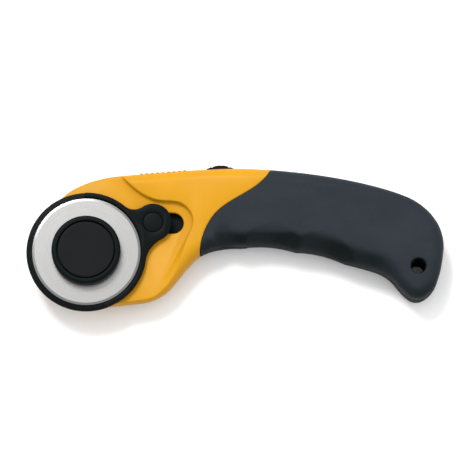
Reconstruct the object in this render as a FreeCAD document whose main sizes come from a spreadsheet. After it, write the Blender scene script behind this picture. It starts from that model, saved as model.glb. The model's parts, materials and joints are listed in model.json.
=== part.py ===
import FreeCAD, Part
import math
import os
import Sketcher

# Rotary cutter with a 45 mm blade, lying on its back.
# Blade axis = Z, origin on the resting plane under the blade, +X runs along the handle.
# The blade side is the front (+Z); the thumb slider is on the +Y edge.

Vector = FreeCAD.Vector
doc = FreeCAD.newDocument("rotary_cutter")

SIZES = {
    # blade and the stack on the blade axis
    "blade_dia": 45.0, "blade_thick": 0.3, "blade_bevel": 1.0, "blade_low": 16.65,
    "boss_rad": 7.0, "boss_top": 16.45, "collar_rad": 3.95, "collar_low": 13.9,
    "fit_gap": 0.05, "run_gap": 0.3,
    "hub_rad": 14.3, "hub_low": 17.15, "hub_top": 22.6, "hub_groove_rad": 12.0,
    "insert_rad": 11.5, "insert_low": 20.9, "insert_top": 22.0,
    "bolt_rad": 2.5, "bolt_low": 1.7, "bolt_head_rad": 5.0, "bolt_head_low": 17.9,
    "bolt_head_top": 20.4, "bolt_key": 6.4, "bolt_key_low": 7.6, "bolt_key_top": 13.0,
    # head and handle thickness
    "head_back": 5.5, "head_front": 14.5, "face_front": 16.9, "grip_front": 20.0,
    "back_ease_x": 26.0, "back_full_x": 60.0, "front_ease_x": 34.0, "front_full_x": 78.0,
    "part_line": 10.0, "edge_round": 5.0, "core_round": 2.5, "skin": 2.8,
    "wall_inset": 5.2, "head_floor": 7.5, "head_roof": 12.5, "grip_floor": 5.0, "grip_roof": 15.0,
    # guard and its slide
    "guard_dia": 50.0, "guard_low": 14.8, "guard_floor": 16.35, "guard_top": 17.3,
    "rim_in_rad": 23.0, "rim_start": 92.0, "rim_end": -72.0, "travel": 8.35,
    "pin_x": 27.65, "pin_y": 12.5, "pin_rad": 4.2, "lobe_rad": 7.8,
    "lobe_blend_upper": 6.0, "lobe_blend_lower": 12.0, "slot_rad": 4.5, "plate_low": 9.2,
    "plate_thick": 1.6, "plate_eye_rad": 7.0,
    "detent_x": 46.0, "detent_y": 19.0, "detent_hole_rad": 1.3,
    # thumb slider
    "slider_x": 49.7, "slider_len": 12.3, "slider_low": 5.8, "slider_wide": 8.4,
    "slider_foot": 26.5, "slider_crest": 37.2, "slider_end": 36.1, "rib_pitch": 1.6,
    "channel_floor": 26.0,
    # finger-rest ribs on the top edge
    "rest_rib_x": 22.6, "rest_rib_pitch": 2.27, "rest_rib_wide": 1.1, "rest_rib_low": 6.6,
    "rest_rib_high": 14.3, "rest_rib_rise": 0.4,
    # wider rounding and the two middle finger scallops along the lower edge of the grip
    "finger_first": 78.8, "finger_pitch": 21.9, "finger_tube": 50.0, "finger_depth": 0.9,
    "skin_over_finger": 1.8, "finger_round": 8.0, "wide_from": 54.0, "wide_to": 126.0,
    # hanging hole, screws and the lock nut on the back
    "hole_x": 138.0, "hole_y": -6.4, "hole_rad": 3.05, "hole_lining": 1.2,
    "screw_rad": 1.5, "screw_head_rad": 2.8, "screw_head_thick": 1.9, "post_rad": 3.9,
    "long_screw_low": 3.2, "long_screw_top": 15.6, "short_screw_low": 6.3, "short_screw_top": 12.9,
    "knob_rad": 11.5, "knob_top": 5.2, "insert_flats_rad": 5.4, "nut_low": 1.3,
    "washer_low": 5.4, "washer_thick": 0.35, "washer_rad": 7.4, "washer_hole": 3.1,
    "washer_bow": 30.0, "washer_seat_rad": 8.2, "washer_seat": 7.1,
}

# Freehand lines of the casing, as the few points each smooth curve passes through (x, y).
CURVES = {
    # whole outline, from the head over the top edge, round the butt and back along the fingers
    "outline": [(-15.6, 6.0), (-11.2, 23.0), (2.8, 30.9), (24.0, 33.9), (48.0, 35.6), (75.0, 35.1),
                (100.0, 32.3), (125.0, 26.7), (141.0, 19.0), (148.4, 7.0), (147.8, -5.6),
                (142.9, -17.0), (137.3, -19.6), (132.0, -16.6), (126.8, -10.6), (113.0, -5.2),
                (96.0, -0.8), (78.0, 2.0), (62.0, 3.1), (50.0, 1.0), (40.0, -8.6), (31.3, -18.0),
                (15.0, -21.8), (-2.0, -21.2), (-12.4, -11.4)],
    # where the grip meets the hard shell, from the top edge to the lower edge
    "grip_line": [(77.6, 40.0), (75.6, 32.6), (66.2, 24.7), (53.7, 16.3), (48.6, 7.5), (47.6, -6.0)],
    # crest and foot of the step around the guard
    "step_crest": [(14.0, 36.0), (20.6, 27.5), (31.0, 22.6), (39.3, 21.4), (44.7, 14.0),
                   (43.6, 5.5), (46.0, -5.0), (46.0, -23.0)],
    "step_foot": [(13.0, 35.0), (19.8, 26.6), (30.6, 21.5), (39.0, 20.5), (44.1, 14.0),
                  (41.1, 5.5), (35.3, -5.0), (26.5, -23.0)],
}
LONG_SCREWS = [(81.0, 18.0), (121.0, 10.5)]
SHORT_SCREWS = [(8.0, 22.5), (21.0, -11.5)]

sheet = doc.addObject("Spreadsheet::Sheet", "Sizes")


def fill_sheet():
    rows = dict(SIZES)
    for name, points in CURVES.items():
        for index, (x, y) in enumerate(points):
            rows["%s_%d_across" % (name, index)] = x
            rows["%s_%d_up" % (name, index)] = y
    for kind, places in (("long_post", LONG_SCREWS), ("short_post", SHORT_SCREWS)):
        for index, (x, y) in enumerate(places):
            rows["%s_%d_across" % (kind, index)] = x
            rows["%s_%d_up" % (kind, index)] = y
    for row, (alias, value) in enumerate(rows.items(), start=1):
        sheet.set("A%d" % row, alias)
        sheet.set("B%d" % row, str(value))
        sheet.setAlias("B%d" % row, alias)
    doc.recompute()


fill_sheet()


def size(alias):
    return float(sheet.get(alias))


def rule(text):
    """Turn 'blade_dia / 2' into an expression that points at the sheet."""
    words = sorted((w for w in sheet_words if w in text), key=len, reverse=True)
    marked = text
    for index, word in enumerate(words):
        marked = replace_word(marked, word, "<%d>" % index)
    for index, word in enumerate(words):
        marked = marked.replace("<%d>" % index, "Sizes." + word)
    return marked


def replace_word(text, word, mark):
    pieces, start = [], 0
    while True:
        found = text.find(word, start)
        if found < 0:
            return "".join(pieces) + text[start:]
        before = text[found - 1] if found else " "
        after = text[found + len(word)] if found + len(word) < len(text) else " "
        whole = not (before.isalnum() or before == "_" or after.isalnum() or after == "_")
        pieces.append(text[start:found] + (mark if whole else word))
        start = found + len(word)


sheet_words = [sheet.get("A%d" % row) for row in range(1, 1 + len(sheet.getUsedCells()) // 2)]


def value(text):
    return float(sheet.evalExpression(rule(text)))


def points_of(name):
    found = []
    while ("%s_%d_across" % (name, len(found))) in sheet_words:
        stem = "%s_%d" % (name, len(found))
        found.append((size(stem + "_across"), size(stem + "_up")))
    return found


# Helpers

def new_body(label, x=None, y=None):
    body = doc.addObject("PartDesign::Body", label)
    body.Label = label
    for axis, text in (("x", x), ("y", y)):
        if text:
            body.setExpression(".Placement.Base." + axis, rule(text))
    return body


def new_sketch(body, name, role, lift=None):
    sketch = body.newObject("Sketcher::SketchObject", name)
    plane = [f for f in body.Origin.OriginFeatures if f.Role == role][0]
    sketch.AttachmentSupport = [(plane, "")]
    sketch.MapMode = "FlatFace"
    if lift:
        sketch.setExpression(".AttachmentOffset.Base.z", rule(lift))
    return sketch


def bind(sketch, constraint, text):
    index = sketch.addConstraint(constraint)
    sketch.setExpression("Constraints[%d]" % index, rule(text))


def draw_polygon(sketch, corners):
    first = sketch.GeometryCount
    spots = [(value(x), value(y)) for x, y in corners]
    for start, end in zip(spots, spots[1:] + spots[:1]):
        sketch.addGeometry(Part.LineSegment(Vector(*start, 0), Vector(*end, 0)), False)
    for index, (x, y) in enumerate(corners):
        this, after = first + index, first + (index + 1) % len(corners)
        sketch.addConstraint(Sketcher.Constraint("Coincident", this, 2, after, 1))
        bind(sketch, Sketcher.Constraint("DistanceX", -1, 1, this, 1, spots[index][0]), x)
        bind(sketch, Sketcher.Constraint("DistanceY", -1, 1, this, 1, spots[index][1]), y)


def draw_circle(sketch, x, y, radius):
    index = sketch.GeometryCount
    centre = Vector(value(x), value(y), 0)
    sketch.addGeometry(Part.Circle(centre, Vector(0, 0, 1), value(radius)), False)
    bind(sketch, Sketcher.Constraint("Radius", index, value(radius)), radius)
    bind(sketch, Sketcher.Constraint("DistanceX", -1, 1, index, 3, centre.x), x)
    bind(sketch, Sketcher.Constraint("DistanceY", -1, 1, index, 3, centre.y), y)


def turned(body, name, corners):
    """Full revolution about the body's own Z of a section given as (radius, height) rules."""
    sketch = new_sketch(body, name + "_section", "XZ_Plane")
    draw_polygon(sketch, corners)
    turn = body.newObject("PartDesign::Revolution", name)
    turn.Profile = sketch
    turn.ReferenceAxis = (sketch, ["V_Axis"])
    turn.Angle = 360
    body.Tip = turn
    return turn


def padded(body, name, draw, low, tall):
    sketch = new_sketch(body, name + "_outline", "XY_Plane", low)
    draw(sketch)
    pad = body.newObject("PartDesign::Pad", name)
    pad.Profile = sketch
    pad.setExpression("Length", rule(tall))
    body.Tip = pad
    return pad


def pocketed(body, name, draw, low, tall):
    """Pocket upwards from the plane at height low."""
    sketch = new_sketch(body, name + "_outline", "XY_Plane", low)
    draw(sketch)
    doc.recompute()
    before = body.Shape.Volume
    pocket = body.newObject("PartDesign::Pocket", name)
    pocket.Profile = sketch
    pocket.Reversed = True
    pocket.setExpression("Length", rule(tall))
    body.Tip = pocket
    doc.recompute()
    if body.Shape.Volume > before - 1e-3:
        raise RuntimeError(name + " cuts nothing")
    return pocket


def patterned(body, feature, count):
    pattern = body.newObject("PartDesign::PolarPattern", feature.Name + "_round")
    pattern.Originals = [feature]
    pattern.Axis = (feature.Profile[0], ["N_Axis"])
    pattern.Angle = 360
    pattern.Occurrences = count
    body.Tip = pattern
    doc.recompute()
    return pattern


def eased(body, name, picker, radius, kind="Fillet"):
    doc.recompute()
    last = body.Tip
    names = ["Edge%d" % (i + 1) for i, edge in enumerate(last.Shape.Edges) if picker(edge)]
    feature = body.newObject("PartDesign::" + kind, name)
    feature.Base = (last, names)
    setattr(feature, "Radius" if kind == "Fillet" else "Size", radius)
    body.Tip = feature
    return feature


def ring_at(height, radius=None):
    def picker(edge):
        box = edge.BoundBox
        level = abs(box.ZMin - height) < 1e-3 and abs(box.ZMax - height) < 1e-3
        return level and (radius is None or abs(box.XLength / 2 - radius) < 1e-2)
    return picker


def primitive(kind, name, sizes, place=("", "", "")):
    item = doc.addObject("Part::" + kind, name)
    for prop, text in sizes.items():
        item.setExpression(prop, rule(text))
    for axis, text in zip("xyz", place):
        if text:
            item.setExpression(".Placement.Base." + axis, rule(text))
    return item


def fused(name, items):
    item = doc.addObject("Part::MultiFuse", name)
    item.Shapes = items
    return item


def cut(name, base, tool):
    item = doc.addObject("Part::Cut", name)
    item.Base = base
    item.Tool = tool
    return item


def common(name, items):
    item = doc.addObject("Part::MultiCommon", name)
    item.Shapes = items
    return item


def labelled(item, label):
    item.Label = label
    return item


def feature(label, shape):
    item = doc.addObject("Part::Feature", label)
    item.Label = label
    item.Shape = shape
    return item


# Blade stack

def rotary_blade():
    body = new_body("rotary_blade")
    top = "blade_low + blade_thick"
    turned(body, "blade_disc", [
        ("collar_rad + fit_gap", "blade_low"), ("blade_dia / 2 - blade_bevel", "blade_low"),
        ("blade_dia / 2", "blade_low + blade_thick / 2 - 0.01"),
        ("blade_dia / 2", "blade_low + blade_thick / 2 + 0.01"),
        ("blade_dia / 2 - blade_bevel", top), ("collar_rad + fit_gap", top)])
    return body


def hub_cap():
    body = new_body("hub_cap")
    turned(body, "hub_turned", [
        ("bolt_rad + fit_gap", "hub_low"), ("hub_rad", "hub_low"), ("hub_rad", "hub_top"),
        ("hub_groove_rad + 0.3", "hub_top"), ("hub_groove_rad", "hub_top - 0.3"),
        ("hub_groove_rad", "insert_low"), ("bolt_head_rad + 0.6", "insert_low"),
        ("bolt_head_rad + 0.6", "bolt_head_low"), ("bolt_rad + fit_gap", "bolt_head_low")])
    eased(body, "hub_rim", ring_at(size("hub_top"), size("hub_rad")), 1.0)
    eased(body, "hub_foot", ring_at(size("hub_low"), size("hub_rad")), 0.4)
    return body


def hub_insert():
    body = new_body("hub_insert")
    turned(body, "insert_turned", [
        ("0", "insert_low"), ("insert_rad", "insert_low"), ("insert_rad", "insert_top"),
        ("insert_rad - 1.2", "insert_top"), ("insert_rad - 1.8", "insert_top - 0.25"),
        ("0", "insert_top - 0.45")])
    eased(body, "insert_edge", ring_at(size("insert_top"), size("insert_rad")), 0.35)
    return body


def blade_bolt():
    body = new_body("blade_bolt")
    turned(body, "shank", [
        ("0", "bolt_low"), ("bolt_rad - 0.5", "bolt_low"), ("bolt_rad", "bolt_low + 0.5"),
        ("bolt_rad", "bolt_head_low"), ("bolt_head_rad", "bolt_head_low"),
        ("bolt_head_rad", "bolt_head_top - 0.4"), ("bolt_head_rad - 0.4", "bolt_head_top"),
        ("0", "bolt_head_top")])
    half = "bolt_key / 2"
    padded(body, "key", lambda s: draw_polygon(s, [
        ("-" + half, "-" + half), (half, "-" + half), (half, half), ("-" + half, half)]),
        "bolt_key_low", "bolt_key_top - bolt_key_low")
    return body


def pivot_bush():
    body = new_body("pivot_bush")
    turned(body, "collar", [
        ("bolt_rad + fit_gap", "collar_low"), ("collar_rad", "collar_low"),
        ("collar_rad", "hub_low"), ("bolt_rad + fit_gap", "hub_low")])
    return body


def wave_washer():
    """A flat ring bent over one axis: the part of a ring that lies in a bowed sheet."""
    tall = "washer_bow - (washer_bow ^ 2 - washer_rad ^ 2) ^ 0.5 + washer_thick"
    outer = primitive("Cylinder", "washer_outer", {"Radius": "washer_rad", "Height": tall + " + 2"},
                      ("", "", "washer_low - 1"))
    hole = primitive("Cylinder", "washer_bore", {"Radius": "washer_hole", "Height": tall + " + 4"},
                     ("", "", "washer_low - 2"))
    crest = "washer_low + " + tall
    sheets = []
    for name, radius in (("bow_outer", "washer_bow"), ("bow_inner", "washer_bow - washer_thick")):
        drum = primitive("Cylinder", name, {"Radius": radius, "Height": "washer_rad * 4"},
                         ("", "washer_rad * 2", crest + " - washer_bow"))
        drum.Placement.Rotation = FreeCAD.Rotation(Vector(1, 0, 0), 90)
        sheets.append(drum)
    ring = cut("washer_ring", outer, hole)
    sheet_shell = cut("washer_sheet", *sheets)
    return labelled(common("wave_washer_shape", [ring, sheet_shell]), "wave_washer")


def lock_nut_knob():
    """Knob with a closed flat back, on which the cutter lies."""
    body = new_body("lock_nut_knob")
    turned(body, "knob_turned", [
        ("0", "0"), ("knob_rad - 0.9", "0"), ("knob_rad", "0.9"), ("knob_rad", "knob_top - 0.8"),
        ("knob_rad - 0.8", "knob_top"), ("0", "knob_top")])
    pocketed(body, "nut_socket", lambda s: draw_hexagon(s, "insert_flats_rad + 0.05"), "nut_low",
             "knob_top")
    notch = pocketed(body, "thumb_notch", lambda s: draw_circle(s, "knob_rad + 1.5", "0", "2.3"),
                     "-1", "knob_top + 2")
    patterned(body, notch, 12)
    return body


def draw_hexagon(sketch, radius):
    corners = []
    for turn in range(6):
        across, up = math.cos(math.radians(60 * turn)), math.sin(math.radians(60 * turn))
        corners.append(("(%s) * %.6f" % (radius, across), "(%s) * %.6f" % (radius, up)))
    draw_polygon(sketch, corners)


def nut_insert():
    body = new_body("nut_insert")
    padded(body, "nut_hex", lambda s: draw_hexagon(s, "insert_flats_rad"), "nut_low + 0.05",
           "knob_top - nut_low - 0.05")
    pocketed(body, "nut_bore", lambda s: draw_circle(s, "0", "0", "bolt_rad + fit_gap"), "0", "knob_top + 1")
    return body


# Guard and slide

def blade_guard():
    """Disc and pin lobe blended together, with a raised rim only on the handle side."""
    tall = "guard_top - guard_low"
    disc = primitive("Cylinder", "guard_disc", {"Radius": "guard_dia / 2", "Height": tall},
                     ("", "", "guard_low"))
    lobe = primitive("Cylinder", "guard_lobe", {"Radius": "lobe_rad", "Height": tall},
                     ("pin_x", "pin_y", "guard_low"))
    joined = fused("guard_plan", [disc, lobe])
    doc.recompute()
    blend = doc.addObject("Part::Fillet", "guard_blend")
    blend.Base = joined
    upright = []
    for index, edge in enumerate(joined.Shape.Edges, start=1):
        box = edge.BoundBox
        middle = edge.CenterOfMass
        off_axis = abs(math.hypot(middle.x, middle.y) - size("guard_dia") / 2) < 1e-3
        if box.XLength < 1e-6 and box.YLength < 1e-6 and off_axis and middle.x > size("lobe_rad"):
            radius = size("lobe_blend_upper" if middle.y > size("pin_y") else "lobe_blend_lower")
            upright.append((index, radius, radius))
    blend.Edges = upright
    well_height = "guard_top - guard_floor + 1"
    tools = [
        primitive("Cylinder", "guard_well", {"Radius": "rim_in_rad", "Height": well_height},
                  ("", "", "guard_floor")),
        primitive("Cylinder", "pin_hole", {"Radius": "pin_rad + 0.06", "Height": tall + " + 2"},
                  ("pin_x", "pin_y", "guard_low - 1")),
        primitive("Box", "boss_slot", {"Length": "travel", "Width": "(boss_rad + run_gap) * 2",
                                       "Height": tall + " + 2"},
                  ("-travel", "-boss_rad - run_gap", "guard_low - 1")),
    ]
    for name, across in (("boss_slot_near", ""), ("boss_slot_far", "-travel")):
        tools.append(primitive("Cylinder", name, {"Radius": "boss_rad + run_gap", "Height": tall + " + 2"},
                               (across, "", "guard_low - 1")))
    open_side = primitive("Cylinder", "open_side", {"Radius": "guard_dia / 2 + 1", "Height": well_height,
                                                    "Angle": "360 + rim_end - rim_start"},
                          ("", "", "guard_floor"))
    open_side.Placement.Rotation = FreeCAD.Rotation(Vector(0, 0, 1), size("rim_start"))
    tools.append(open_side)
    shape = cut("blade_guard_shape", blend, fused("guard_tools", tools))
    return labelled(shape, "blade_guard")


def guard_pin():
    body = new_body("guard_pin", "pin_x", "pin_y")
    turned(body, "pin_turned", [
        ("1.3", "plate_low"), ("3.0", "plate_low"), ("3.0", "plate_low + plate_thick"),
        ("pin_rad", "plate_low + plate_thick"), ("pin_rad", "guard_top - 0.25"),
        ("pin_rad - 0.25", "guard_top"), ("0", "guard_top"), ("0", "guard_top - 3"),
        ("1.3", "guard_top - 3")])
    return body


def guard_pin_screw():
    body = new_body("guard_pin_screw", "pin_x", "pin_y")
    turned(body, "pin_screw_turned", [
        ("0", "plate_low - 1.2"), ("3.2", "plate_low - 1.2"), ("3.6", "plate_low - 0.8"),
        ("3.6", "plate_low - 0.01"), ("1.25", "plate_low - 0.01"), ("1.25", "guard_top - 3.4"),
        ("0.9", "guard_top - 3.1"), ("0", "guard_top - 3.1")])
    pocketed(body, "pin_screw_drive", lambda s: draw_hexagon(s, "1.2"), "plate_low - 1.25", "0.8")
    return body


def slide_plate():
    body = new_body("slide_plate")
    tab = "slider_x + 1.5"
    tab_end = "slider_x + slider_len - 1.5"
    padded(body, "plate_arm", lambda s: draw_polygon(s, [
        ("pin_x - 3.0", "pin_y + 5.8"), (tab, "slider_foot - 0.4"), (tab, "slider_end - 3.2"),
        (tab_end, "slider_end - 3.2"), (tab_end, "23.0"), ("pin_x + travel + 5.6", "pin_y"),
        ("pin_x + travel + 2.5", "pin_y - 5.1"), ("pin_x", "pin_y - 5.1")]),
        "plate_low", "plate_thick")
    padded(body, "plate_eye", lambda s: draw_circle(s, "pin_x", "pin_y", "plate_eye_rad"),
           "plate_low", "plate_thick")
    pocketed(body, "eye_bore", lambda s: draw_circle(s, "pin_x", "pin_y", "3.0 + fit_gap"),
             "plate_low - 1", "plate_thick + 2")

    def detents(sketch):
        draw_circle(sketch, "detent_x", "detent_y", "detent_hole_rad")
        draw_circle(sketch, "detent_x - travel", "detent_y", "detent_hole_rad")
    pocketed(body, "detent_holes", detents, "plate_low - 1", "plate_thick + 2")
    return body


def detent_spring():
    """Leaf on the floor of the back shell whose tip clicks into the slide plate."""
    body = new_body("detent_spring", None, "detent_y + 1")
    sketch = new_sketch(body, "leaf_section", "XZ_Plane")
    draw_polygon(sketch, [
        ("detent_x - 13", "head_floor + 0.02"), ("detent_x - 7", "head_floor + 0.02"),
        ("detent_x - 1", "plate_low - 0.9"), ("detent_x", "plate_low - 0.25"),
        ("detent_x + 1", "plate_low - 0.9"), ("detent_x + 2.6", "plate_low - 1.2"),
        ("detent_x + 2.6", "plate_low - 0.8"), ("detent_x + 1.1", "plate_low - 0.45"),
        ("detent_x", "plate_low + 0.25"), ("detent_x - 1.1", "plate_low - 0.45"),
        ("detent_x - 7.1", "head_floor + 0.42"), ("detent_x - 13", "head_floor + 0.42")])
    pad = body.newObject("PartDesign::Pad", "leaf")
    pad.Profile = sketch
    pad.setExpression("Length", "2")
    body.Tip = pad
    return body


def thumb_slider():
    body = new_body("thumb_slider")
    right = "slider_x + slider_len"
    middle = "slider_x + slider_len / 2"
    corners = [("slider_x", "slider_foot"), (right, "slider_foot"), (right, "slider_end - 0.8"),
               (right + " - 0.8", "slider_end"), (middle + " + 2.8", "slider_crest - 0.35"),
               (middle + " + 1.4", "slider_crest"), (middle + " - 1.4", "slider_crest"),
               (middle + " - 2.8", "slider_crest - 0.35"),
               ("slider_x + 0.8", "slider_end"), ("slider_x", "slider_end - 0.8")]
    padded(body, "slider_block", lambda s: draw_polygon(s, corners), "slider_low", "slider_wide")

    def grooves(sketch):
        for side in ("-", "+"):
            for step in range(2):
                across = "%s %s (3.6 + rib_pitch * %d)" % (middle, side, step)
                draw_circle(sketch, across, "slider_end + 0.75 - %0.2f" % (0.35 * step), "0.5")
    pocketed(body, "slider_grooves", grooves, "slider_low - 1", "slider_wide + 2")
    pocketed(body, "tab_slot", lambda s: draw_polygon(s, [
        ("slider_x + 1.4", "slider_foot - 1"), (right + " - 1.4", "slider_foot - 1"),
        (right + " - 1.4", "slider_end - 3.1"), ("slider_x + 1.4", "slider_end - 3.1")]),
        "plate_low - 0.05", "plate_thick + 0.1")
    return body


# Casing

def smooth_edge(points, z, closed=False):
    curve = Part.BSplineCurve()
    curve.interpolate([Vector(x, y, z) for x, y in points], PeriodicFlag=closed)
    return curve.toShape()


def arc_from(start, tangent, end):
    """Arc from start to end that leaves start along tangent, and its end tangent."""
    chord = end - start
    along = Vector(chord).normalize()
    turn = math.atan2(tangent.x * along.y - tangent.y * along.x, tangent.dot(along))
    sag = chord.Length / 2 * math.tan(turn / 2)
    middle = (start + end) * 0.5 + Vector(along.y, -along.x, 0) * sag
    arrive = Vector(math.cos(turn) * along.x - math.sin(turn) * along.y,
                    math.sin(turn) * along.x + math.cos(turn) * along.y, 0)
    if abs(sag) < 1e-3:
        return Part.makeLine(start, end), arrive
    return Part.Arc(start, middle, end).toShape(), arrive


def arc_outline(points, z):
    """Closed chain of tangent arcs, two between each pair of points."""
    guide = smooth_edge(points, z, True)
    spots = [Vector(x, y, z) for x, y in points]
    ways = [guide.tangentAt(guide.Curve.parameter(spot)) for spot in spots]
    arcs = []
    for index, start in enumerate(spots):
        end, leave = spots[(index + 1) % len(spots)], ways[index]
        reach = ways[(index + 1) % len(spots)]
        gap = end - start
        both = leave + reach
        spread = 2 * (1 - leave.dot(reach))
        if spread < 1e-9:
            step = gap.dot(gap) / (4 * gap.dot(reach))
        else:
            step = (math.sqrt(gap.dot(both) ** 2 + spread * gap.dot(gap)) - gap.dot(both)) / spread
        joint = (start + leave * step + end - reach * step) * 0.5
        first, way = arc_from(start, leave, joint)
        second, way = arc_from(joint, way, end)
        arcs += [first, second]
    return Part.Wire(arcs)


def slab(points, low, high, inset=0.0):
    """Upright block inside a closed smooth outline, optionally drawn in all round."""
    wire = arc_outline(points, low)
    if inset:
        wire = wire.makeOffset2D(-inset, join=0)
    return Part.Face(wire).extrude(Vector(0, 0, high - low))


def side_profile(inset):
    """Side view of head and handle: thin head, full grip, eased between them by arcs."""
    back, front, grip = size("head_back"), size("face_front"), size("grip_front")
    far_left, far_right, aside = -60.0, 200.0, -80.0

    def spot(x, z):
        return Vector(x, aside, z)

    def ease(a, b):
        """Two equal tangent arcs between a and b, level at both ends."""
        half = (a + b) * 0.5
        run, rise = half.x - a.x, half.z - a.z
        radius = (run * run + rise * rise) / (2 * abs(rise))
        angle = math.asin(abs(run) / radius) / 2
        across = math.copysign(radius * math.sin(angle), run)
        up = math.copysign(radius * (1 - math.cos(angle)), rise)
        near = Part.Arc(a, a + Vector(across, 0, up), half).toShape()
        far = Part.Arc(half, b - Vector(across, 0, up), b).toShape()
        return [near, far]
    low_head, low_grip = back + inset, inset
    high_head, high_grip = front - inset, grip - inset
    low_a, low_b = spot(size("back_ease_x"), low_head), spot(size("back_full_x"), low_grip)
    high_a, high_b = spot(size("front_ease_x"), high_head), spot(size("front_full_x"), high_grip)
    ends = [spot(far_right, low_grip), spot(far_right, high_grip), spot(far_left, high_head),
            spot(far_left, low_head)]
    edges = [Part.makeLine(ends[3], low_a)] + ease(low_a, low_b)
    edges += [Part.makeLine(low_b, ends[0]), Part.makeLine(ends[0], ends[1]), Part.makeLine(ends[1], high_b)]
    edges += ease(high_b, high_a)
    edges += [Part.makeLine(high_a, ends[2]), Part.makeLine(ends[2], ends[3])]
    return Part.Face(Part.Wire(edges)).extrude(Vector(0, 160, 0))


def rounded_form(inset, radius, finger_radius):
    """Head and handle as one solid with both long rims rounded, wider where the fingers lie."""
    block = doc.addObject("Part::Feature", "block_in_%d" % round(inset * 10))
    block.Shape = slab(points_of("outline"), -5.0, 30.0, inset).common(side_profile(inset))
    rims = []
    for index, edge in enumerate(block.Shape.Edges, start=1):
        middle = edge.valueAt((edge.FirstParameter + edge.LastParameter) / 2)
        box = edge.BoundBox
        across = box.ZLength < 8 and box.XLength + box.YLength > 0.01
        flat = abs(edge.tangentAt(edge.FirstParameter).x) < 1e-6 and box.XLength < 1e-6
        if across and not flat and middle.z > -0.1:
            ends = [edge.valueAt(t) for t in (edge.FirstParameter, edge.LastParameter)]
            if edge.Orientation == "Reversed":
                ends.reverse()
            radii = [radius + (finger_radius - radius) * finger_share(end) for end in ends]
            rims.append((index, radii[0], radii[1]))
    rounded = doc.addObject("Part::Fillet", block.Name + "_rounded")
    rounded.Base = block
    rounded.Edges = rims
    doc.recompute()
    return rounded.Shape


def finger_share(spot):
    """How far the rim at this spot takes the wide rounding of the finger side, 0 to 1."""
    if spot.y > 8:
        return 0.0
    rising = (spot.x - size("wide_from")) / 14.0
    falling = (size("wide_to") - spot.x) / 12.0
    return max(0.0, min(1.0, rising, falling))


def finger_cutter(index, grow=0.0):
    """Ring-shaped scallop that wraps the lower rim, square to the local outline."""
    x = size("finger_first") + index * size("finger_pitch")
    low, slope = lower_edge(x)
    half = size("grip_front") / 2
    tube = size("finger_tube")
    centre = Vector(x, low + half + size("finger_depth"), half)
    along = Vector(1, slope, 0).normalize()
    ring = Part.makeTorus(half + tube, tube + grow, centre, along)
    reach = size("finger_pitch") / 2
    keep = Part.makeBox(2 * reach, 60, 60, Vector(-reach, -60, -30))
    keep.Placement = FreeCAD.Placement(centre, FreeCAD.Rotation(Vector(1, 0, 0), along))
    return ring.common(keep)


def lower_edge(x):
    """Height and slope of the lower outline at x."""
    edge = smooth_edge(points_of("outline"), 0, True)
    probe = Part.makeLine(Vector(x, -60, 0), Vector(x, 12, 0))
    spot = min((v.Point for v in edge.section(probe).Vertexes), key=lambda p: p.y)
    tangent = edge.tangentAt(edge.Curve.parameter(spot))
    return spot.y, tangent.y / tangent.x


def grip_zone():
    """Everything on the handle side of the line where the grip begins."""
    line = points_of("grip_line")
    start, end = line[0], line[-1]
    far = 200.0
    curve = smooth_edge(line, -5)
    corners = [end, (far, end[1] - 60), (far, start[1] + 20), start]
    corners = [Vector(x, y, -5) for x, y in corners]
    sides = [Part.makeLine(a, b) for a, b in zip(corners, corners[1:])]
    return Part.Face(Part.Wire([curve] + sides)).extrude(Vector(0, 0, 40))


def step_cutter():
    """Sloped recess in which the guard slides, from its foot line up to its crest line."""
    rings = []
    for name, z in (("step_foot", size("head_front")), ("step_crest", size("grip_front") + 1)):
        line = points_of(name)
        left = -60.0
        corners = [line[-1], (left, line[-1][1]), (left, line[0][1]), line[0]]
        corners = [Vector(x, y, z) for x, y in corners]
        sides = [Part.makeLine(a, b) for a, b in zip(corners, corners[1:])]
        rings.append(Part.Wire([smooth_edge(line, z)] + sides))
    return Part.makeLoft(rings, True, True)


def upright(x, y, radius, low, high):
    return Part.makeCylinder(radius, high - low, Vector(x, y, low))


def slot_cutter():
    """Straight round-ended slot for the guard pin."""
    radius, y = size("slot_rad"), size("pin_y")
    start, end = size("pin_x"), size("pin_x") + size("travel")
    low, tall = size("part_line"), 10.0
    box = Part.makeBox(end - start, 2 * radius, tall, Vector(start, y - radius, low))
    return box.fuse([upright(start, y, radius, low, low + tall), upright(end, y, radius, low, low + tall)])


def hollow():
    """Room inside the casing: a flat one in the head, a deeper one in the grip."""
    outline = points_of("outline")
    inset = size("wall_inset")
    head = slab(outline, size("head_floor"), size("head_roof"), inset)
    head = head.common(Part.makeBox(150, 200, 60, Vector(-80, -100, -20)))
    grip = slab(outline, size("grip_floor"), size("grip_roof"), inset + 0.4)
    grip = grip.common(Part.makeBox(200, 200, 60, Vector(62, -100, -20)))
    room = head.fuse(grip)
    gap = size("run_gap")
    channel = Part.makeBox(size("slider_len") + size("travel") + 2 * gap, 40, size("slider_wide") + 2 * gap,
                           Vector(size("slider_x") - gap, size("channel_floor"), size("slider_low") - gap))
    posts = [upright(0, 0, size("boss_rad"), -5, 30),
             upright(size("hole_x"), size("hole_y"), size("hole_rad") + 3.4, -5, 30)]
    for kind in ("long_post", "short_post"):
        posts += [upright(x, y, size("post_rad"), -5, 30) for x, y in points_of(kind)]
    return room.cut(posts).fuse(channel)


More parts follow.
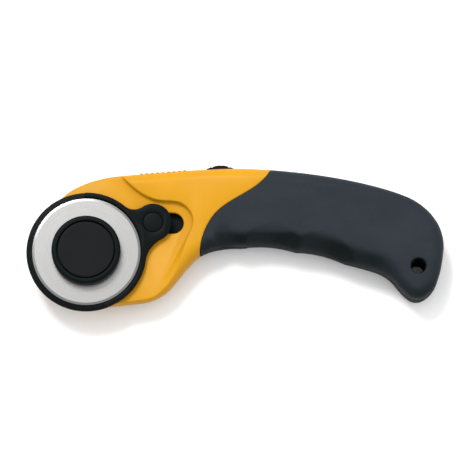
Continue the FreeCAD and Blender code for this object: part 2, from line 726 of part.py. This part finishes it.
def bores():
    """Every round hole that goes through both shells, with its seats on the back."""
    shapes = [upright(size("hole_x"), size("hole_y"), size("hole_rad"), -5, 30)]
    gap = size("fit_gap")
    for kind, stem in (("long_post", "long_screw"), ("short_post", "short_screw")):
        low, top = size(stem + "_low"), size(stem + "_top")
        for x, y in points_of(kind):
            shapes.append(upright(x, y, size("screw_rad") + gap, low, top + 0.3))
            seat = low + size("screw_head_thick") + 0.02
            shapes.append(upright(x, y, size("screw_head_rad") + 0.15, -5, seat))
    key = size("bolt_key") + 2 * gap
    shapes.append(Part.makeBox(key, key, size("bolt_key_top") - size("bolt_key_low") + 2 * gap,
                               Vector(-key / 2, -key / 2, size("bolt_key_low") - gap)))
    shapes.append(upright(0, 0, size("bolt_rad") + gap, -5, 30))
    shapes.append(upright(0, 0, size("collar_rad") + 0.02, size("collar_low"), 30))
    shapes.append(upright(0, 0, size("washer_seat_rad"), -5, size("washer_seat")))
    return shapes


def rest_ribs(form):
    """Small ribs under the first finger: slices of the form raised over its top edge."""
    raised = form.copy()
    raised.translate(Vector(0, size("rest_rib_rise"), 0))
    low, tall = size("rest_rib_low"), size("rest_rib_high") - size("rest_rib_low")
    slices = []
    for index in range(9):
        x = size("rest_rib_x") + index * size("rest_rib_pitch")
        corner = Vector(x - size("rest_rib_wide") / 2, 28, low)
        slices.append(Part.makeBox(size("rest_rib_wide"), 12, tall, corner))
    return [raised.common(piece) for piece in slices]


def casing():
    """Two hard shells and the two halves of the soft grip moulded over them."""
    outer = rounded_form(0.0, size("edge_round"), size("finger_round"))
    ribs = rest_ribs(outer)
    outer = outer.cut([finger_cutter(index) for index in range(2)])
    core = rounded_form(size("skin"), size("core_round"), size("core_round"))
    core = core.cut([finger_cutter(index, size("skin_over_finger")) for index in range(2)])
    lining = upright(size("hole_x"), size("hole_y"), size("hole_rad") + size("hole_lining"), -5, 30)
    grip = outer.common(grip_zone()).cut(core).fuse(outer.common(lining))
    hard = outer.cut(grip).cut(step_cutter())
    hard = hard.fuse(ribs)
    hard = hard.fuse(upright(0, 0, size("boss_rad"), size("head_front") - 1, size("boss_top")))
    holes = bores()
    hard = hard.cut([hollow(), slot_cutter()] + holes)
    grip = grip.cut(holes)
    split = size("part_line")
    back_half = Part.makeBox(400, 400, 60, Vector(-200, -200, split - 60))
    front_half = Part.makeBox(400, 400, 60, Vector(-200, -200, split))
    pieces = {"front_shell": hard.common(front_half), "back_shell": hard.common(back_half),
              "front_grip": grip.common(front_half), "back_grip": grip.common(back_half)}
    made = []
    for label, shape in pieces.items():
        solids = sorted(shape.Solids, key=lambda s: -s.Volume)
        print(label, [round(s.Volume, 1) for s in solids])
        made.append(feature(label, solids[0]))
    return made


# Screws

def screw_group(label, kind, stem):
    """Identical self-tapping screws from the back, one per post."""
    screws = []
    for index in range(len(points_of(kind))):
        x = "%s_%d_across" % (kind, index)
        y = "%s_%d_up" % (kind, index)
        tag = "%s_%d" % (stem, index)
        head_sizes = {"Radius": "screw_head_rad", "Height": "screw_head_thick"}
        head = primitive("Cylinder", tag + "_head", head_sizes, (x, y, stem + "_low"))
        shank_sizes = {"Radius": "screw_rad", "Height": "%s_top - %s_low - 1.5" % (stem, stem)}
        shank = primitive("Cylinder", tag + "_shank", shank_sizes, (x, y, stem + "_low"))
        point_sizes = {"Radius1": "screw_rad", "Radius2": "0.4", "Height": "1.5"}
        point = primitive("Cone", tag + "_point", point_sizes, (x, y, stem + "_top - 1.5"))
        whole = fused(tag + "_whole", [head, shank, point])
        arms = []
        for name, long_side, short_side in (("_drive_a", "2.6", "0.7"), ("_drive_b", "0.7", "2.6")):
            arm_sizes = {"Length": long_side, "Width": short_side, "Height": "1.6"}
            corner = (x + " - %s / 2" % long_side, y + " - %s / 2" % short_side, stem + "_low - 0.6")
            arms.append(primitive("Box", tag + name, arm_sizes, corner))
        screws.append(cut(tag + "_cut", whole, fused(tag + "_drive", arms)))
    group = doc.addObject("Part::Compound", label)
    group.Links = screws
    return labelled(group, label)


nodes = [rotary_blade(), hub_cap(), hub_insert(), blade_bolt(), pivot_bush(), wave_washer(),
         lock_nut_knob(), nut_insert(), blade_guard(), guard_pin(), guard_pin_screw(), slide_plate(),
         detent_spring(), thumb_slider(), screw_group("long_screws", "long_post", "long_screw"),
         screw_group("short_screws", "short_post", "short_screw")] + casing()
doc.recompute()

for item in doc.Objects:
    if any(word in item.State for word in ("Invalid", "Error")):
        raise RuntimeError("%s failed: %s" % (item.Name, item.State))
for item in nodes:
    if item.Shape.isNull() or not item.Shape.isValid():
        raise RuntimeError(item.Label + " has no valid shape")

os.makedirs("parts", exist_ok=True)
for item in nodes:
    item.Shape.exportStep("parts/%s.step" % item.Label)
    box = item.Shape.BoundBox
    print("%-16s %8.1f mm3  x %.1f..%.1f  y %.1f..%.1f  z %.2f..%.2f" % (
        item.Label, item.Shape.Volume, box.XMin, box.XMax, box.YMin, box.YMax, box.ZMin, box.ZMax))
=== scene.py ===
import json
import math

import bmesh
import bpy
import numpy
from mathutils import Matrix, Vector


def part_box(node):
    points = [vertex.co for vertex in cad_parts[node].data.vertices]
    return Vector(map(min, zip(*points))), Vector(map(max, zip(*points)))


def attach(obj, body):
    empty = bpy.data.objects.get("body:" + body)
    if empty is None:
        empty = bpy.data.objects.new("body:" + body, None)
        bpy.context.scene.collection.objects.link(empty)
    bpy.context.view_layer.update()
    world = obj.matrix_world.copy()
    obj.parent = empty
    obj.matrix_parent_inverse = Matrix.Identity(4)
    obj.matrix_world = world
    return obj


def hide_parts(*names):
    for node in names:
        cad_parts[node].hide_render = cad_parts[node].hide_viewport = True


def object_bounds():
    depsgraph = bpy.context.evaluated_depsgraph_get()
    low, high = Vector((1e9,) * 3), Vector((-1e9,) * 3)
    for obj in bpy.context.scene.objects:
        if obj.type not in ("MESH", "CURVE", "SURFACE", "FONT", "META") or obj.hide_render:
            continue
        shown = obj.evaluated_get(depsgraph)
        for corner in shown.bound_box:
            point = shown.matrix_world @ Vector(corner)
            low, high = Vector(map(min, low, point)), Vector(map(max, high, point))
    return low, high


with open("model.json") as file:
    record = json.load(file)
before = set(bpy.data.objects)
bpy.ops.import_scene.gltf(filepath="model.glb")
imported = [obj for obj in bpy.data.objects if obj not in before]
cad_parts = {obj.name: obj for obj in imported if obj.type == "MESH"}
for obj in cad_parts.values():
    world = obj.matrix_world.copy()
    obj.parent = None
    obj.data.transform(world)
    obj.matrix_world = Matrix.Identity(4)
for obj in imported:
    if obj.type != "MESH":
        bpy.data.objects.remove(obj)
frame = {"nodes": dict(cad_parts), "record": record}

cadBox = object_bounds()
mm = 0.001
print("frame loaded:", len(frame["nodes"]), "nodes")


stageValues = {
    "viewTilt": 11.0,            # degrees the camera leans from straight above
    "lookAt": (59.35, 9.59, 16.8),   # mm, middle of the picture
    "distance": 1400.0,          # mm
    "pictureWidth": 190.76,      # mm across at lookAt
    "sensor": 36,                # mm
    "floorSize": 6.0,            # m
    "floorDrop": 0.02,           # mm under the lowest point
    "floorColor": (0.93, 0.93, 0.93),
    "floorGrain": 900.0,
    "skyLow": 0.15,
    "skyHigh": 1.5,
    "skyUp": 0.85,               # how much brighter overhead
    "skyAhead": 0.25,            # and towards +Y
    "skyBase": 0.10,
    "lightsAim": (0.06, 0.0, 0.0),   # m
    "keyPower": 13.5,
    "keySize": 0.4,
    "keyPlace": (-0.30, 0.65, 1.15),
    "fillPower": 2.4,
    "fillSize": 1.2,
    "fillPlace": (0.9, -0.3, 0.9),
}


def aimAt(thing, target):
    thing.rotation_euler = (target - thing.location).to_track_quat("-Z", "Y").to_euler()


def makeCamera(values):
    target = Vector(values["lookAt"]) * mm
    lean = math.radians(values["viewTilt"])
    reach = values["distance"] * mm
    data = bpy.data.cameras.new("studioCamera")
    data.sensor_width = values["sensor"]
    data.lens = values["sensor"] * values["distance"] / values["pictureWidth"]
    data.clip_start = 0.01
    data.clip_end = 50
    camera = bpy.data.objects.new("studioCamera", data)
    bpy.context.collection.objects.link(camera)
    camera.location = target + Vector((0, -math.sin(lean), math.cos(lean))) * reach
    aimAt(camera, target)
    bpy.context.scene.camera = camera


def makeSoftbox(name, place, size, power):
    data = bpy.data.lights.new(name, "AREA")
    data.shape = "SQUARE"
    data.size = size
    data.energy = power
    lamp = bpy.data.objects.new(name, data)
    bpy.context.collection.objects.link(lamp)
    lamp.location = place
    aimAt(lamp, Vector(stageValues["lightsAim"]))


def makeSky(values):
    world = bpy.data.worlds.new("studioSky")
    bpy.context.scene.world = world
    world.use_nodes = True
    shader = Shader(world.node_tree)
    direction = shader.node("ShaderNodeTexCoord", out="Generated")
    up = shader.node("ShaderNodeSeparateXYZ", values={"Vector": direction}, out="Z")
    ahead = shader.node("ShaderNodeSeparateXYZ", values={"Vector": direction}, out="Y")
    level = (up * values["skyUp"] + ahead * values["skyAhead"] + values["skyBase"]).clamped()
    strength = level * (values["skyHigh"] - values["skyLow"]) + values["skyLow"]
    background = world.node_tree.nodes["Background"]
    background.inputs["Color"].default_value = (1, 1, 1, 1)
    world.node_tree.links.new(strength.socket, background.inputs["Strength"])


class Wire:
    # A socket that can be used in sums.

    def __init__(self, tree, socket):
        self.tree = tree
        self.socket = socket

    def maths(self, operation, first, second):
        node = self.tree.nodes.new("ShaderNodeMath")
        node.operation = operation
        for place, term in enumerate((first, second)):
            if isinstance(term, Wire):
                self.tree.links.new(term.socket, node.inputs[place])
            else:
                node.inputs[place].default_value = term
        return Wire(self.tree, node.outputs[0])

    def __add__(self, other):
        return self.maths("ADD", self, other)

    def __radd__(self, other):
        return self.maths("ADD", other, self)

    def __sub__(self, other):
        return self.maths("SUBTRACT", self, other)

    def __rsub__(self, other):
        return self.maths("SUBTRACT", other, self)

    def __mul__(self, other):
        return self.maths("MULTIPLY", self, other)

    def __rmul__(self, other):
        return self.maths("MULTIPLY", other, self)

    def __truediv__(self, other):
        return self.maths("DIVIDE", self, other)

    def __rtruediv__(self, other):
        return self.maths("DIVIDE", other, self)

    def __pow__(self, other):
        return self.maths("POWER", self, other)

    def __gt__(self, other):
        return self.maths("GREATER_THAN", self, other)

    def __lt__(self, other):
        return self.maths("LESS_THAN", self, other)

    def clamped(self):
        total = self.maths("ADD", self, 0.0)
        total.socket.node.use_clamp = True
        return total

    def ranged(self, low, high):
        # 0 at low, 1 at high, clamped.
        return ((self - low) / (high - low)).clamped()


class Shader:
    # Builds nodes in one tree.

    def __init__(self, tree):
        self.tree = tree

    def node(self, kind, settings=None, values=None, out=0):
        made = self.tree.nodes.new(kind)
        for name, setting in (settings or {}).items():
            setattr(made, name, setting)
        for name, value in (values or {}).items():
            if isinstance(value, Wire):
                self.tree.links.new(value.socket, made.inputs[name])
            else:
                made.inputs[name].default_value = value
        return Wire(self.tree, made.outputs[out])

    def place(self):
        return self.node("ShaderNodeTexCoord", out="Object")

    def stretched(self, vector, scale, turn=(0, 0, 0)):
        return self.node("ShaderNodeMapping", values={"Vector": vector, "Scale": scale, "Rotation": turn})

    def noise(self, vector, scale, detail=3.0, roughness=0.5):
        return self.node("ShaderNodeTexNoise",
                         values={"Vector": vector, "Scale": scale, "Detail": detail, "Roughness": roughness})

    def cells(self, vector, scale):
        return self.node("ShaderNodeTexVoronoi", {"feature": "F1"},
                         {"Vector": vector, "Scale": scale}, "Distance")

    def blend(self, amount, first, second):
        return self.node("ShaderNodeMix", {"data_type": "RGBA"},
                         {0: amount, 6: first, 7: second}, 2)

    def bump(self, height, strength, distance, under=None):
        values = {"Height": height, "Strength": strength, "Distance": distance}
        if under is not None:
            values["Normal"] = under
        return self.node("ShaderNodeBump", values=values, out="Normal")


def makeMaterial(name, build, fixed):
    # A Principled material: fixed values on the sockets, links from build(shader).
    material = bpy.data.materials.new(name)
    material.use_nodes = True
    tree = material.node_tree
    principled = tree.nodes["Principled BSDF"]
    for socket, value in fixed.items():
        principled.inputs[socket].default_value = value
    for socket, wire in build(Shader(tree)).items():
        tree.links.new(wire.socket, principled.inputs[socket])
    return material


def rgb(color, gain=1.0):
    return (*[part * gain for part in color], 1.0)


# In the finishes below, a pattern's number is its scale in repeats per metre.
absValues = {"color": (0.51, 0.241, 0.0064), "roughness": 0.38, "coat": 0.02,
             "soften": 1.1,      # mm, radius of the softened crests
             "drift": 45.0, "sparkle": 2600.0, "peel": 520.0,
             "scuffs": (90.0, 900.0, 400.0), "scuffTurn": 0.35}


def buildAbs(shader):
    spot = shader.place()
    drift = shader.noise(spot, absValues["drift"], 2.0)
    sparkle = shader.noise(spot, absValues["sparkle"], 2.0)
    peel = shader.noise(spot, absValues["peel"], 1.0)
    scuffPath = shader.stretched(spot, absValues["scuffs"], (0, 0, absValues["scuffTurn"]))
    scuffs = shader.noise(scuffPath, 1.0, 4.0, 0.6).ranged(0.66, 0.78)
    color = shader.blend(drift.ranged(0.3, 0.75), rgb(absValues["color"]), rgb(absValues["color"], 0.93))
    color = shader.blend(scuffs * 0.25, color, rgb(absValues["color"], 1.08))
    rough = absValues["roughness"] + drift * 0.08 + scuffs * 0.12 + sparkle * 0.05
    softened = shader.node("ShaderNodeBevel", {"samples": 8}, {"Radius": absValues["soften"] * mm})
    fine = shader.bump(sparkle, 0.12, 0.00004, softened)
    return {"Base Color": color, "Roughness": rough, "Normal": shader.bump(peel, 0.10, 0.00006, fine)}


# shade is the colour of the painted shade along the finger band, the lower edges and the hanging hole.
gripValues = {"color": (0.0137, 0.0183, 0.024), "shade": (0.0015, 0.0045, 0.0045),
              "roughness": 0.55, "grain": 1500.0, "fine": 4200.0, "drift": 60.0,
              "rubbed": (25.0, 70.0, 60.0)}


def buildGrip(shader):
    spot = shader.place()
    grain = shader.cells(spot, gripValues["grain"])
    fine = shader.noise(spot, gripValues["fine"], 2.0)
    drift = shader.noise(spot, gripValues["drift"], 3.0)
    rubbedPath = shader.stretched(spot, gripValues["rubbed"])
    rubbed = shader.noise(rubbedPath, 1.0, 4.0, 0.6).ranged(0.45, 0.7)
    color = shader.blend(drift.ranged(0.3, 0.7), rgb(gripValues["color"]), rgb(gripValues["color"], 0.88))
    color = shader.blend(rubbed * 0.35, color, rgb(gripValues["color"], 1.22))
    # Painted shade: the fingerShade attribute darkens the grip's colour and roughens it a little where the
    # band leans away, on the lower edges and in the hole.
    paintedShade = shader.node("ShaderNodeAttribute", {"attribute_name": "fingerShade"}, out="Fac")
    color = shader.blend(paintedShade, color, rgb(gripValues["shade"]))
    rough = gripValues["roughness"] + paintedShade * 0.2 + grain * 0.10 + drift * 0.10 - rubbed * 0.06
    pebble = shader.bump(grain, 0.30, 0.00005)
    return {"Base Color": color, "Roughness": rough, "Normal": shader.bump(fine, 0.18, 0.00003, pebble)}


plasticValues = {"drift": 120.0, "dust": 900.0, "dustColor": (0.03, 0.03, 0.03)}


def darkPlastic(color, roughness, grain):
    def build(shader):
        spot = shader.place()
        fine = shader.noise(spot, grain, 3.0, 0.6)
        drift = shader.noise(spot, plasticValues["drift"], 3.0)
        dust = shader.noise(spot, plasticValues["dust"], 4.0, 0.7).ranged(0.68, 0.8)
        tone = shader.blend(drift.ranged(0.3, 0.7), rgb(color), rgb(color, 0.8))
        tone = shader.blend(dust * 0.1, tone, rgb(plasticValues["dustColor"]))
        rough = roughness + fine * 0.12 + dust * 0.15
        return {"Base Color": tone, "Roughness": rough, "Normal": shader.bump(fine, 0.22, 0.00004)}
    return build


steelValues = {"color": (0.28, 0.278, 0.275), "roughness": 0.18, "grind": 5200.0,
               "bevelStart": 21.55,   # mm from the axis
               "bevelShade": (0.13, 0.13, 0.13), "crossOut": 300.0,
               "crossRound": 260.0,   # repeats per radian
               "smear": 95.0, "marks": (260.0, 2400.0, 1.0), "markTurn": 0.9}


def buildBlade(shader):
    # Ground face with fine circular lines, and a cross-ground bevel at the edge whose tone is darkened,
    # painted shade for a bevel that catches less light.
    spot = shader.place()
    parts = [shader.node("ShaderNodeSeparateXYZ", values={"Vector": spot}, out=axis) for axis in "XYZ"]
    radius = (parts[0] * parts[0] + parts[1] * parts[1]) ** 0.5
    angle = parts[0].maths("ARCTAN2", parts[1], parts[0])
    ringPlace = {"X": radius * steelValues["grind"], "Y": angle * 1.4, "Z": parts[2] * 100.0}
    ringPath = shader.node("ShaderNodeCombineXYZ", values=ringPlace)
    rings = shader.noise(ringPath, 1.0, 3.0, 0.7)
    crossPlace = {"X": radius * steelValues["crossOut"], "Y": angle * steelValues["crossRound"]}
    crossPath = shader.node("ShaderNodeCombineXYZ", values=crossPlace)
    cross = shader.noise(crossPath, 1.0, 2.0, 0.6)
    edge = radius > steelValues["bevelStart"] * mm
    smear = shader.noise(spot, steelValues["smear"], 4.0, 0.6)
    markPath = shader.stretched(spot, steelValues["marks"], (0, 0, steelValues["markTurn"]))
    marks = shader.noise(markPath, 1.0, 3.0).ranged(0.7, 0.76)
    steel = steelValues["color"]
    color = shader.blend(smear.ranged(0.35, 0.75), rgb(steel), rgb(steel, 0.92))
    # Painted shade: the edge bevel is blended towards a darker steel tone.
    color = shader.blend(edge * 0.8, color, rgb(steelValues["bevelShade"]))
    rough = steelValues["roughness"] + rings * 0.10 + smear * 0.10 - marks * 0.08
    height = rings * (1.0 - edge) + cross * edge + marks * 0.4
    return {"Base Color": color, "Roughness": rough, "Normal": shader.bump(height, 0.22, 0.00002)}


metalValues = {"fine": 3000.0, "cloud": 350.0}


def platedMetal(color, roughness):
    def build(shader):
        spot = shader.place()
        fine = shader.noise(spot, metalValues["fine"], 3.0, 0.6)
        cloud = shader.noise(spot, metalValues["cloud"], 3.0)
        tone = shader.blend(cloud.ranged(0.35, 0.7), rgb(color), rgb(color, 0.8))
        rough = roughness + cloud * 0.18 + fine * 0.06
        return {"Base Color": tone, "Roughness": rough, "Normal": shader.bump(fine, 0.15, 0.00003)}
    return build


def buildFloor(shader):
    spot = shader.place()
    grain = shader.noise(spot, stageValues["floorGrain"], 2.0)
    floor = stageValues["floorColor"]
    return {"Base Color": shader.blend(grain, rgb(floor), rgb(floor, 0.995))}


materials = {
    "shell_yellow": makeMaterial("glossyYellowShell", buildAbs,
                                 {"Coat Weight": absValues["coat"], "Coat Roughness": 0.2,
                                  "Specular IOR Level": 0.1}),
    "soft_grip": makeMaterial("softGripRubber", buildGrip, {"Specular IOR Level": 0.133}),
    "black_plastic": makeMaterial("blackNylon", darkPlastic((0.0012, 0.0038, 0.0042), 0.42, 2300.0),
                                  {"Specular IOR Level": 0.06}),
    "guard_plastic": makeMaterial("guardAcetal", darkPlastic((0.0016, 0.0031, 0.0034), 0.42, 1900.0),
                                  {"Specular IOR Level": 0.06}),
    "blade_steel": makeMaterial("groundBladeSteel", buildBlade, {"Metallic": 1.0}),
    "zinc_steel": makeMaterial("zincPlatedSteel", platedMetal((0.55, 0.56, 0.58), 0.25), {"Metallic": 1.0}),
    "spring_steel": makeMaterial("springSteel", platedMetal((0.36, 0.36, 0.37), 0.22), {"Metallic": 1.0}),
    "brass": makeMaterial("turnedBrass", platedMetal((0.70, 0.52, 0.24), 0.24), {"Metallic": 1.0}),
}
insertPlastic = makeMaterial("hubInsertPlastic", darkPlastic((0.005, 0.0054, 0.006), 0.45, 2100.0),
                             {"Specular IOR Level": 0.065})
print("materials made:", len(materials))


def sharpenOver(mesh, degrees):
    # Smooth faces, with edges sharper than this angle kept sharp.
    bm = bmesh.new()
    bm.from_mesh(mesh)
    limit = math.radians(degrees)
    for face in bm.faces:
        face.smooth = True
    for edge in bm.edges:
        edge.smooth = edge.calc_face_angle(0.0) < limit
    bm.to_mesh(mesh)
    bm.free()


def finishPiece(bm, name, slot, body, degrees=35.0):
    mesh = bpy.data.meshes.new(name)
    bm.to_mesh(mesh)
    bm.free()
    sharpenOver(mesh, degrees)
    piece = bpy.data.objects.new(name, mesh)
    bpy.context.collection.objects.link(piece)
    mesh.materials.append(materials[slot])
    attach(piece, body)
    return piece


def copyOfNode(node):
    # The node's own shape as one joined mesh.
    bm = bmesh.new()
    bm.from_mesh(frame["nodes"][node].data)
    bmesh.ops.remove_doubles(bm, verts=bm.verts, dist=0.002 * mm)
    return bm


def easeEdges(bm, width, degrees):
    # Rounds every edge sharper than this angle.
    limit = math.radians(degrees)
    bmesh.ops.dissolve_limit(bm, angle_limit=math.radians(0.4), verts=bm.verts, edges=bm.edges)
    sharp = [edge for edge in bm.edges if edge.is_manifold and edge.calc_face_angle(0.0) > limit]
    bmesh.ops.bevel(bm, geom=sharp, offset=width * mm, offset_type="OFFSET", affect="EDGES",
                    segments=2, profile=0.5, material=-1, clamp_overlap=True)


def turnedPiece(section, steps, rounding):
    # Full spin about the blade axis of a closed section of (radius, height) in mm.
    # rounding maps a corner's index to the radius that eases it.
    bm = bmesh.new()
    ring = [bm.verts.new((radius * mm, 0, height * mm)) for radius, height in section]
    edges = [bm.edges.new((ring[i], ring[(i + 1) % len(ring)])) for i in range(len(ring))]
    edges = [edge for edge in edges if max(vert.co.x for vert in edge.verts) > 0]
    marks = {index: section[index] for index in rounding}
    bmesh.ops.spin(bm, geom=ring + edges, cent=(0, 0, 0), axis=(0, 0, 1), angle=math.tau,
                   steps=steps, use_merge=True, use_duplicate=False)
    bmesh.ops.remove_doubles(bm, verts=bm.verts, dist=0.001 * mm)
    loose = [edge for edge in bm.edges if not edge.link_faces]
    bmesh.ops.delete(bm, geom=loose, context="EDGES")
    bmesh.ops.recalc_face_normals(bm, faces=bm.faces)
    for index, (radius, height) in marks.items():
        rim = []
        for edge in bm.edges:
            if all(abs(vert.co.xy.length - radius * mm) < 0.002 * mm and
                   abs(vert.co.z - height * mm) < 0.002 * mm for vert in edge.verts):
                rim.append(edge)
        bmesh.ops.bevel(bm, geom=rim, offset=rounding[index] * mm, offset_type="OFFSET", affect="EDGES",
                        segments=4, profile=0.5, material=-1, clamp_overlap=True)
    return bm


def remeshed(bm, name, voxel, passes):
    # Even skin over a shape, its creases eased like a soft moulding.
    mesh = bpy.data.meshes.new(name + "Rough")
    bm.to_mesh(mesh)
    bm.free()
    rough = bpy.data.objects.new(name + "Rough", mesh)
    bpy.context.collection.objects.link(rough)
    remesh = rough.modifiers.new("evenSkin", "REMESH")
    remesh.mode = "VOXEL"
    remesh.voxel_size = voxel * mm
    smooth = rough.modifiers.new("soften", "SMOOTH")
    smooth.factor = 0.5
    smooth.iterations = passes
    depsgraph = bpy.context.evaluated_depsgraph_get()
    result = bmesh.new()
    result.from_object(rough, depsgraph)
    bpy.data.objects.remove(rough)
    return result


bladeValues = {"outer": 22.5, "hole": 4.0, "bevel": 0.95, "steps": 192,
               "edge": 0.01}     # mm, half the thickness left at the edge


def makeBlade(values):
    low, high = [corner.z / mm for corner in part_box("rotary_blade")]
    middle = (low + high) / 2
    flat = values["outer"] - values["bevel"]
    section = [(values["hole"], low), (flat, low), (values["outer"], middle - values["edge"]),
               (values["outer"], middle + values["edge"]), (flat, high), (values["hole"], high)]
    bm = turnedPiece(section, values["steps"], {})
    blade = finishPiece(bm, "roundBlade", "blade_steel", "blade", 4.0)
    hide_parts("rotary_blade")


hubValues = {"steps": 160, "rim": 0.9, "foot": 0.35, "grooveEdge": 0.35, "groove": (11.7, 12.15),
             "bore": 2.55, "headRoom": 5.6, "headHeight": 2.5,
             "insertRise": 0.35, "insertRim": 0.25, "lip": 1.3, "dish": 0.12, "dishRadius": 5.0}


def makeHub(values):
    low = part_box("hub_cap")[0].z / mm
    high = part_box("hub_cap")[1].z / mm
    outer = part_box("hub_cap")[1].x / mm
    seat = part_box("hub_insert")[0].z / mm
    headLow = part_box("blade_bolt")[1].z / mm - values["headHeight"]
    section = [(values["bore"], low), (outer, low), (outer, high), (values["groove"][1], high),
               (values["groove"][1], seat), (values["headRoom"], seat),
               (values["headRoom"], headLow), (values["bore"], headLow)]
    rounding = {1: values["foot"], 2: values["rim"], 3: values["grooveEdge"]}
    bm = turnedPiece(section, values["steps"], rounding)
    cap = finishPiece(bm, "hubCap", "black_plastic", "casing", 30.0)
    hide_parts("hub_cap")


def makeHubInsert(values):
    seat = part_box("hub_insert")[0].z / mm
    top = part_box("hub_insert")[1].z / mm + values["insertRise"]
    rim = values["groove"][0]
    floor = top - values["dish"]
    section = [(0, seat), (rim, seat), (rim, top), (rim - values["lip"], top),
               (values["dishRadius"], floor), (0, floor)]
    bm = turnedPiece(section, values["steps"], {2: values["insertRim"]})
    insert = finishPiece(bm, "hubInsert", "black_plastic", "casing", 30.0)
    insert.data.materials[0] = insertPlastic
    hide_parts("hub_insert")


easeValues = {"over": 40.0, "shellOver": 28.0,   # degrees
              "blade_guard": 0.25, "guard_pin": 0.15, "thumb_slider": 0.25,   # mm
              "lock_nut_knob": 0.3, "front_shell": 0.3, "back_shell": 0.3}


def makeEased(name, node, slot, body, degrees=easeValues["over"]):
    bm = copyOfNode(node)
    easeEdges(bm, easeValues[node], degrees)
    piece = finishPiece(bm, name, slot, body)
    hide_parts(node)


# The band, lean, wave, edge and hole values set where painted shade falls on the grip.
gripShape = {"voxel": 0.42, "passes": 6, "bandStart": (46.0, 68.0), "bandEnd": (118.0, 132.0),
             "bandTop": 8.0, "firstCusp": 67.6, "pitch": 21.9, "depth": 1.15, "blurRounds": 14,
             "hole": (138.0, -6.4, 3.4),
             "leanStart": (0.12, 0.5), "leanEnd": (0.82, 0.98), "leanFade": 0.55,
             "waveLow": 0.62, "waveHigh": 0.38, "waveStart": (0.1, 0.9), "waveEnd": (0.93, 1.0),
             "edgeLean": (0.05, 0.6), "edgeShade": 0.55}


def smoothStep(low, high, value):
    share = min(1.0, max(0.0, (value - low) / (high - low)))
    return share * share * (3 - 2 * share)


def blurred(mesh, amounts, rounds):
    ends = numpy.array([edge.vertices[:] for edge in mesh.edges])
    first, second = ends[:, 0], ends[:, 1]
    neighbours = numpy.bincount(ends.ravel(), minlength=len(amounts))
    for _ in range(rounds):
        total = numpy.bincount(first, amounts[second], len(amounts))
        total += numpy.bincount(second, amounts[first], len(amounts))
        amounts = (amounts + total / numpy.maximum(neighbours, 1)) / 2
    return amounts


def fingerShade(x, lean, values):
    # Painted shade: darkest where the band leans away, and up to each cusp from the blade's side; lower
    # edges that lean away get a lighter painted shade as well.
    along = smoothStep(*values["bandStart"], x) * (1 - smoothStep(*values["bandEnd"], x))
    fade = values["leanFade"] * smoothStep(*values["leanEnd"], lean)
    band = smoothStep(*values["leanStart"], lean) * (1 - fade)
    phase = ((x - values["firstCusp"]) / values["pitch"]) % 1.0
    rise = smoothStep(*values["waveStart"], phase) * (1 - smoothStep(*values["waveEnd"], phase))
    wave = values["waveLow"] + values["waveHigh"] * rise
    edge = values["edgeShade"] * smoothStep(*values["edgeLean"], lean)
    return max(edge, values["depth"] * along * band * wave)


def shadeGrip(mesh, values):
    amounts = numpy.zeros(len(mesh.vertices))
    holeX, holeY, holeReach = values["hole"]
    inHole = []
    for vert in mesh.vertices:
        x, y = vert.co.x / mm, vert.co.y / mm
        if math.hypot(x - holeX, y - holeY) < holeReach:
            inHole.append(vert.index)
        elif y < values["bandTop"]:
            amounts[vert.index] = fingerShade(x, -vert.normal.y, values)
    amounts = numpy.minimum(1.0, blurred(mesh, amounts, values["blurRounds"]))
    # The hanging hole's lining is painted fully dark, painted shade over the floor seen through it.
    amounts[inHole] = 1.0
    shade = mesh.attributes.new("fingerShade", "FLOAT", "POINT")
    shade.data.foreach_set("value", amounts)


def makeGrip(name, node):
    bm = remeshed(copyOfNode(node), name, gripShape["voxel"], gripShape["passes"])
    piece = finishPiece(bm, name, "soft_grip", "casing", 70.0)
    shadeGrip(piece.data, gripShape)
    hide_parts(node)


makeBlade(bladeValues)
makeHub(hubValues)
makeHubInsert(hubValues)
print("blade and hub made")
makeEased("guardDisc", "blade_guard", "guard_plastic", "guard_carriage")
makeEased("guardPinHead", "guard_pin", "guard_plastic", "guard_carriage")
makeEased("thumbSlider", "thumb_slider", "black_plastic", "guard_carriage")
makeEased("lockNutKnob", "lock_nut_knob", "black_plastic", "lock_nut")
print("guard, slider and knob made")
makeGrip("softGripFront", "front_grip")
makeGrip("softGripBack", "back_grip")
makeEased("frontShell", "front_shell", "shell_yellow", "casing", easeValues["shellOver"])
makeEased("backShell", "back_shell", "shell_yellow", "casing", easeValues["shellOver"])
print("grip and shells made")

slotOf = {entry["node"]: entry["material_slot"] for entry in frame["record"]["subparts"]}
for node, piece in frame["nodes"].items():
    for place in piece.material_slots:
        place.material = materials[slotOf[node]]


def makeFloor(values):
    bm = bmesh.new()
    bmesh.ops.create_grid(bm, x_segments=2, y_segments=2, size=values["floorSize"] / 2)
    mesh = bpy.data.meshes.new("paleFloor")
    bm.to_mesh(mesh)
    bm.free()
    floor = bpy.data.objects.new("paleFloor", mesh)
    bpy.context.collection.objects.link(floor)
    mesh.materials.append(makeMaterial("paleFloorPaint", buildFloor, {"Roughness": 0.85}))
    mesh.transform(Matrix.Translation((0, 0, cadBox[0].z - values["floorDrop"] * mm)))


makeFloor(stageValues)
makeCamera(stageValues)
makeSky(stageValues)
makeSoftbox("keySoftbox", stageValues["keyPlace"], stageValues["keySize"], stageValues["keyPower"])
makeSoftbox("fillSoftbox", stageValues["fillPlace"], stageValues["fillSize"], stageValues["fillPower"])
bpy.context.scene.view_settings.view_transform = "Standard"
print("stage made")
